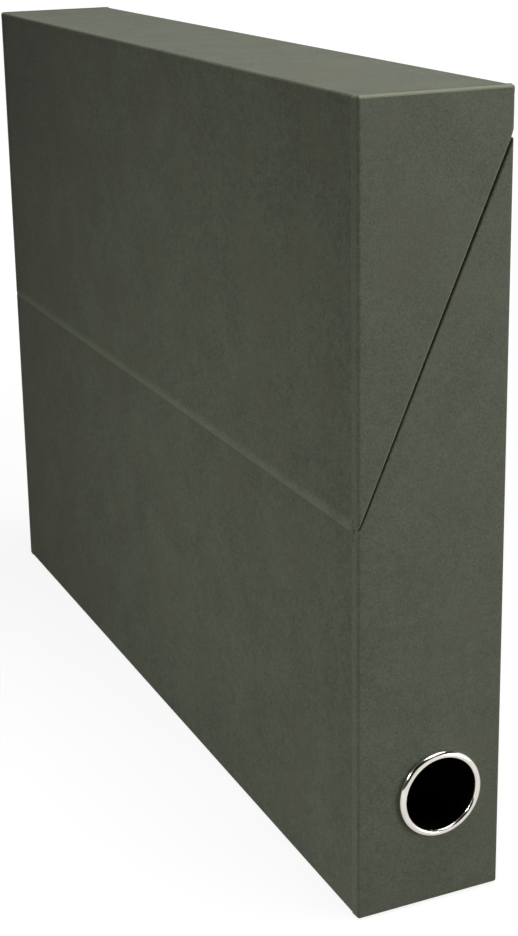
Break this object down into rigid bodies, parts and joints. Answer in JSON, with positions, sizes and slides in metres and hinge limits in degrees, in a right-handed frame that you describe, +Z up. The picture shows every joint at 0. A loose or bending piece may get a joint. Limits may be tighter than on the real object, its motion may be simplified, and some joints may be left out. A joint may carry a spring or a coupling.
{
  "type": "archive transport box",
  "caption": "Slim covered board box on its long narrow side, with a lid hinged at a crease across the big left panel and a metal finger ring in the spine.",
  "frame": {"origin": "centre of the underside sheet, on the surface the box stands on", "axes": "+Z up, +Y from the spine with the finger ring to the rear end, +X from the big panel with the hinge crease to the other big panel"},
  "size_m": [0.0505, 0.3419, 0.255],
  "materials": {
    "covering": "matte",
    "greyboard": "matte",
    "lining": "matte",
    "nickel": "polished"
  },
  "bodies": {
    "base": {"bottom_board": "greyboard", "left_board": "greyboard", "right_board": "greyboard", "front_board": "greyboard", "rear_board": "greyboard", "base_covering": "covering", "underside_sheet": "covering", "base_lining": "lining", "finger_ring": "nickel", "ring_washer": "nickel"},
    "lid": {"lid_top_board": "greyboard", "lid_left_board": "greyboard", "lid_lip_board": "greyboard", "lid_front_board": "greyboard", "lid_rear_board": "greyboard", "lid_covering": "covering", "lid_lining": "lining"}
  },
  "joints": [
    {"name": "lid_hinge", "type": "hinge", "parent": "base", "child": "lid", "pos_m": [-0.0255, 0, 0.1285], "axis": [0, -1, 0], "range_deg": [0, 175]}
  ]
}
